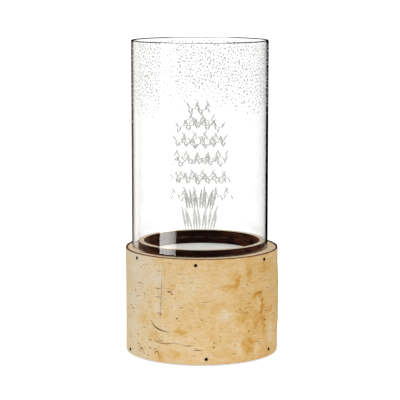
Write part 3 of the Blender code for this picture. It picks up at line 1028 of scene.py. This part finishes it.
CAMERA_DISTANCE = 1.4719
CAMERA_HEIGHT = 0.3550
CAMERA_PITCH = 8.298
CAMERA_YAW = 0.062
LENS = 144.8
BACKDROP = 1.24
FLOOR_GLOW = 0.62
AMBIENT = 0.70
STREAK = (-68.2, -39.4)            # azimuths of the pale reflector at the left of the front
REAR_REFLECTOR = (-152.0, -128.0)   # azimuths of the dim one at the left of the back
REFLECTOR_RADIANCE = 13.5


def build_camera():
    data = bpy.data.cameras.new("camera")
    data.lens = LENS
    data.sensor_width = 36.0
    data.clip_end = 60.0
    camera = bpy.data.objects.new("camera", data)
    camera.location = (0.0, -CAMERA_DISTANCE, CAMERA_HEIGHT)
    camera.rotation_euler = (math.radians(90 - CAMERA_PITCH), 0.0, math.radians(CAMERA_YAW))
    bpy.context.scene.collection.objects.link(camera)
    bpy.context.scene.camera = camera


def mirrored_surroundings(look, position, transmissions, reach):
    """What polished glass mirrors. Its outer face shows black flags, a pale reflector at the
    left of the front and a dim one at the left of the back. Inside its near wall, where the
    edges reflect totally, it is black towards the right and brown towards the left, and the
    far wall shows the white sweep."""
    split = look.node("SeparateXYZ", {"Vector": position})
    backwards = look.maths("MULTIPLY", split.outputs["Y"], -1.0)
    azimuth = look.maths("ARCTAN2", split.outputs["X"], backwards)
    share = look.spread(azimuth, -math.pi, math.pi)
    front, rear = ([(a + 180) / 360 for a in pair] for pair in (STREAK, REAR_REFLECTOR))
    black = (0.0, 0.0, 0.0)
    bright, pale, dim = (0.80, 0.775, 0.76), (0.40, 0.38, 0.36), (0.09, 0.088, 0.084)
    middle = front[0] + 0.55 * (front[1] - front[0])
    outer = look.ramp(share, [(0.0, black), (rear[0], black), (rear[0] + 0.02, dim),
                              (rear[1], dim), (rear[1] + 0.02, black), (front[0], black),
                              (front[0] + 0.001, bright), (middle, bright),
                              (front[1], pale), (front[1] + 0.001, black), (1.0, black)])
    brown = (0.015, 0.0115, 0.0083)
    inner = look.ramp(share, [(0.0, brown), (0.22, brown), (0.26, black), (1.0, black)])
    outer = look.mix(reach, black, outer)
    near = look.mix(look.maths("GREATER_THAN", transmissions, 0.5), outer, inner)
    return look.mix(look.maths("GREATER_THAN", transmissions, 2.5), near, (0.078, 0.078, 0.077))


def studio(look, position, straight, bounced, reach):
    """Light from the stage by kind of ray: straight or refracted, after a mirror-like bounce,
    or lighting a matt surface."""
    path = look.node("LightPath")
    mirrored = look.maths("GREATER_THAN", path.outputs["Glossy Depth"], 0.5)
    matt = look.maths("GREATER_THAN", path.outputs["Diffuse Depth"], 0.5)
    kind = "Emission" if look.shader else "Background"
    plain_side = look.node(kind, {"Color": look.mix(matt, (1.0,) * 3, (bounced,) * 3)})
    look.feed(plain_side.inputs["Strength"], straight)
    mirror_side = look.node(kind, {"Strength": REFLECTOR_RADIANCE})
    image = mirrored_surroundings(look, position, path.outputs["Transmission Depth"], reach)
    look.feed(mirror_side.inputs["Color"], image)
    return mirrored, plain_side.outputs[0], mirror_side.outputs[0]


def build_world():
    world = bpy.data.worlds.new("studio")
    bpy.context.scene.world = world
    look = Look("studio", world)
    direction = look.node("TexCoord").outputs["Generated"]
    mirrored, plain, mirror = studio(look, direction, BACKDROP, AMBIENT / BACKDROP, 1.0)
    both = look.node("MixShader", {0: mirrored, 1: plain, 2: mirror})
    output = look.tree.nodes["World Output"]
    look.feed(output.inputs["Surface"], both.outputs[0])


def build_floor():
    """Plain pale floor. Away from the object it turns into a sweep that glows evenly."""
    bpy.ops.mesh.primitive_circle_add(vertices=96, radius=14.0, fill_type='NGON')
    floor = bpy.context.object
    floor.name = "studio_floor"
    look = Look("pale_floor")
    position = look.node("NewGeometry").outputs["Position"]
    away = look.node("VectorMath", {0: position}, operation='LENGTH').outputs["Value"]
    strength = look.spread(away, 0.30, 0.75, FLOOR_GLOW, BACKDROP)
    reach = look.spread(away, 0.25, 0.45)
    mirrored, glow, mirror = studio(look, position, strength, 0.0, reach)
    grain = look.noise(look.place(), 6.0, 2.0)
    pale = look.ramp(grain, [(0.0, 0.80), (1.0, 0.83)])
    look.set(base_color=look.mix(look.spread(away, 0.30, 0.75), pale, (0.0, 0.0, 0.0)),
             roughness=0.9, specular_ior_level=0.0)
    lit = look.node("AddShader", {0: glow, 1: look.shader.outputs[0]})
    both = look.node("MixShader", {0: mirrored, 1: lit.outputs[0], 2: mirror})
    look.feed(look.tree.nodes["Material Output"].inputs["Surface"], both.outputs[0])
    floor.data.materials.append(look.owner)


def softbox(name, azimuth, distance, height, size, radiance, colour):
    """Rectangular light that faces the middle of the object."""
    data = bpy.data.lights.new(name, 'AREA')
    data.shape = 'RECTANGLE'
    data.size, data.size_y = size
    data.energy = radiance * math.pi * size[0] * size[1]
    data.color = colour
    light = bpy.data.objects.new(name, data)
    angle = math.radians(azimuth)
    light.location = (distance * math.sin(angle), -distance * math.cos(angle), height)
    aim = Vector((0, 0, 0.12)) - light.location
    light.rotation_euler = aim.to_track_quat('-Z', 'Y').to_euler()
    light.visible_camera = False
    bpy.context.scene.collection.objects.link(light)


def build_lights():
    softbox("key_softbox", -40, 1.5, 0.85, (0.9, 1.3), 1.9, (1.0, 0.985, 0.96))
    softbox("fill_softbox", 48, 1.6, 0.80, (1.0, 1.2), 2.0, (1.0, 0.98, 0.95))
    softbox("top_softbox", 10, 0.25, 1.9, (1.3, 1.3), 1.3, (1.0, 1.0, 1.0))


def main():
    bpy.context.scene.view_settings.view_transform = 'Standard'
    build_camera()
    build_world()
    build_floor()
    build_lights()
    frost = frost_look()
    # the top rim's glass is greyed to 0.62: painted shade
    build_glass(glass_look(), glass_look("rim_glass_painted_shade", 0.62))
    build_flecks(frost)
    build_ornament(frost)
    board = board_face_look()
    deck_face = board_face_look("deck_face", (0.80, 0.60, 0.37))
    build_boards(board, deck_face, burnt_edge_look(), glue_look())
    build_plate(plate_look())
    build_bark(bark_look(), bark_edge_look())
    lenticel = lenticel_look()
    build_marks(lenticel)
    build_scars(lenticel)
    build_nails(nail_look())
    finish_nodes({"_screw_": zinc_look(), "support_post": pine_look(),
                  "felt_pad": felt_look(), "well_floor_disc": board, "base_disc": board})


main()
